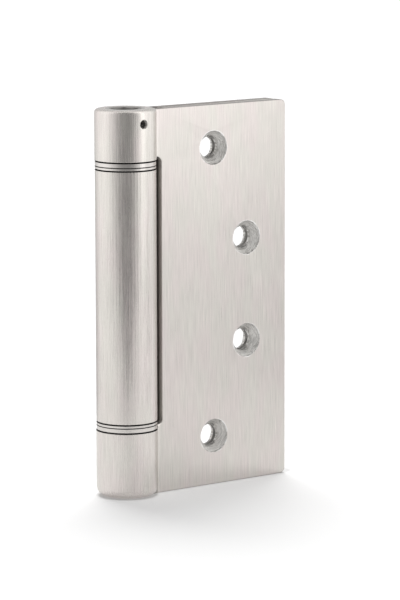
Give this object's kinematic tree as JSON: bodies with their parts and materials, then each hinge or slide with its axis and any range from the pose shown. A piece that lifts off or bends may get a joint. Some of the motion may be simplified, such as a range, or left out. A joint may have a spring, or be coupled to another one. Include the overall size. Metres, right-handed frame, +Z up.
{
  "type": "spring hinge",
  "caption": "Self-closing butt hinge with a coil spring inside its long middle barrel, a wound adjusting head on top, thrust washers and two countersunk leaves, closed.",
  "frame": {"origin": "on the pivot axis, at the flat lower end of the lower knuckle", "axes": "+Z up along the pivot axis, +X from the axis to the frame leaf's free edge, -Y out of the frame leaf's countersunk face"},
  "size_m": [0.0662, 0.0182, 0.1148],
  "materials": {
    "leaf_steel": "satin stainless, brushed along the pivot axis",
    "washer_steel": "turned and satin",
    "turned_steel": "turned",
    "bush_bronze": "plain bearing bronze",
    "spring_wire": "drawn and oiled"
  },
  "bodies": {
    "frame_side": {"frame_leaf": "leaf_steel", "lower_plug": "turned_steel", "pivot_pin": "turned_steel", "lower_thick_washer": "washer_steel", "lower_thin_washer": "washer_steel", "upper_thin_washer": "washer_steel", "upper_thick_washer": "washer_steel"},
    "door_side": {"door_leaf": "leaf_steel", "lower_bush": "bush_bronze", "upper_bush": "bush_bronze", "spring_anchor": "turned_steel", "torsion_spring": "spring_wire"},
    "winding_side": {"adjusting_head": "turned_steel", "arbor": "turned_steel", "winding_driver": "turned_steel", "driver_pin": "turned_steel", "retaining_ring": "spring_wire"}
  },
  "joints": [
    {"name": "door_swing", "type": "hinge", "parent": "frame_side", "child": "door_side", "pos_m": [0, 0, 0], "axis": [0, 0, 1], "range_deg": [0, 180], "stiffness_Nm_per_rad": 0.97, "deforming": ["torsion_spring"]},
    {"name": "tension_adjust", "type": "hinge", "parent": "frame_side", "child": "winding_side", "pos_m": [0, 0, 0], "axis": [0, 0, 1], "range_deg": [-240, 0], "stiffness_Nm_per_rad": 0.97, "deforming": ["torsion_spring"]}
  ]
}
